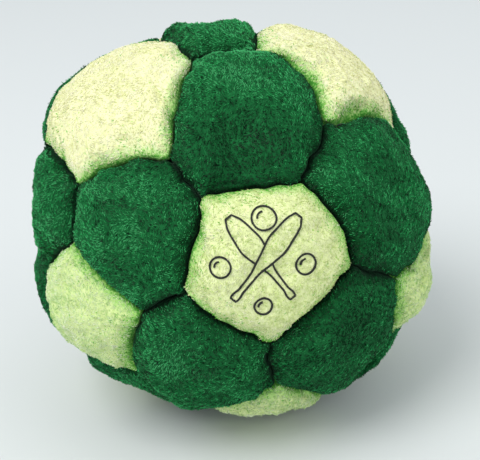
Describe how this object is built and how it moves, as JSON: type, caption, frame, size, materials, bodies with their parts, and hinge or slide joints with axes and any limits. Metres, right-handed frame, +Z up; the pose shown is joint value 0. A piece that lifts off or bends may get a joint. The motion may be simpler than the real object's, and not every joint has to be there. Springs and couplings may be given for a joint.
{
  "type": "juggling ball",
  "caption": "Soft stitched ball of five-sided and six-sided suede panels with rolled seams, filled with loose pellets, for juggling and footbag play.",
  "frame": {"origin": "on the face that the ball rests on, under the ball's centre", "axes": "+Z up through the ball's centre; -Y is the front, towards the panel with the printed motif; +X to the right"},
  "size_m": [0.0542, 0.0556, 0.0543],
  "materials": {
    "green_suede": "short-napped synthetic suede, dark green",
    "pale_suede": "short-napped synthetic suede, pale yellow-green",
    "seam_thread": "waxed polyester thread, dark",
    "pellets": "moulded plastic pellets"
  },
  "bodies": {
    "root": {"closing_thread": "seam_thread", "filling_pellets": "pellets", "hex_panel_01": "green_suede", "hex_panel_02": "green_suede", "hex_panel_03": "green_suede", "hex_panel_04": "green_suede", "hex_panel_05": "green_suede", "hex_panel_06": "green_suede", "hex_panel_07": "green_suede", "hex_panel_08": "green_suede", "hex_panel_09": "green_suede", "hex_panel_10": "green_suede", "hex_panel_11": "green_suede", "hex_panel_12": "green_suede", "hex_panel_13": "green_suede", "hex_panel_14": "green_suede", "hex_panel_15": "green_suede", "hex_panel_16": "green_suede", "hex_panel_17": "green_suede", "hex_panel_18": "green_suede", "hex_panel_19": "green_suede", "hex_panel_20": "green_suede", "hex_seam_thread_01": "seam_thread", "hex_seam_thread_02": "seam_thread", "hex_seam_thread_03": "seam_thread", "hex_seam_thread_04": "seam_thread", "hex_seam_thread_05": "seam_thread", "hex_seam_thread_06": "seam_thread", "hex_seam_thread_07": "seam_thread", "hex_seam_thread_08": "seam_thread", "hex_seam_thread_09": "seam_thread", "hex_seam_thread_10": "seam_thread", "pent_panel_01": "pale_suede", "pent_panel_02": "pale_suede", "pent_panel_03": "pale_suede", "pent_panel_04": "pale_suede", "pent_panel_05": "pale_suede", "pent_panel_06": "pale_suede", "pent_panel_07": "pale_suede", "pent_panel_08": "pale_suede", "pent_panel_09": "pale_suede", "pent_panel_10": "pale_suede", "pent_panel_11": "pale_suede", "pent_panel_12": "pale_suede", "pent_seam_thread_01": "seam_thread", "pent_seam_thread_02": "seam_thread", "pent_seam_thread_03": "seam_thread", "pent_seam_thread_04": "seam_thread", "pent_seam_thread_05": "seam_thread", "pent_seam_thread_06": "seam_thread", "pent_seam_thread_07": "seam_thread", "pent_seam_thread_08": "seam_thread", "pent_seam_thread_09": "seam_thread", "pent_seam_thread_10": "seam_thread", "pent_seam_thread_11": "seam_thread", "pent_seam_thread_12": "seam_thread"}
  },
  "joints": []
}
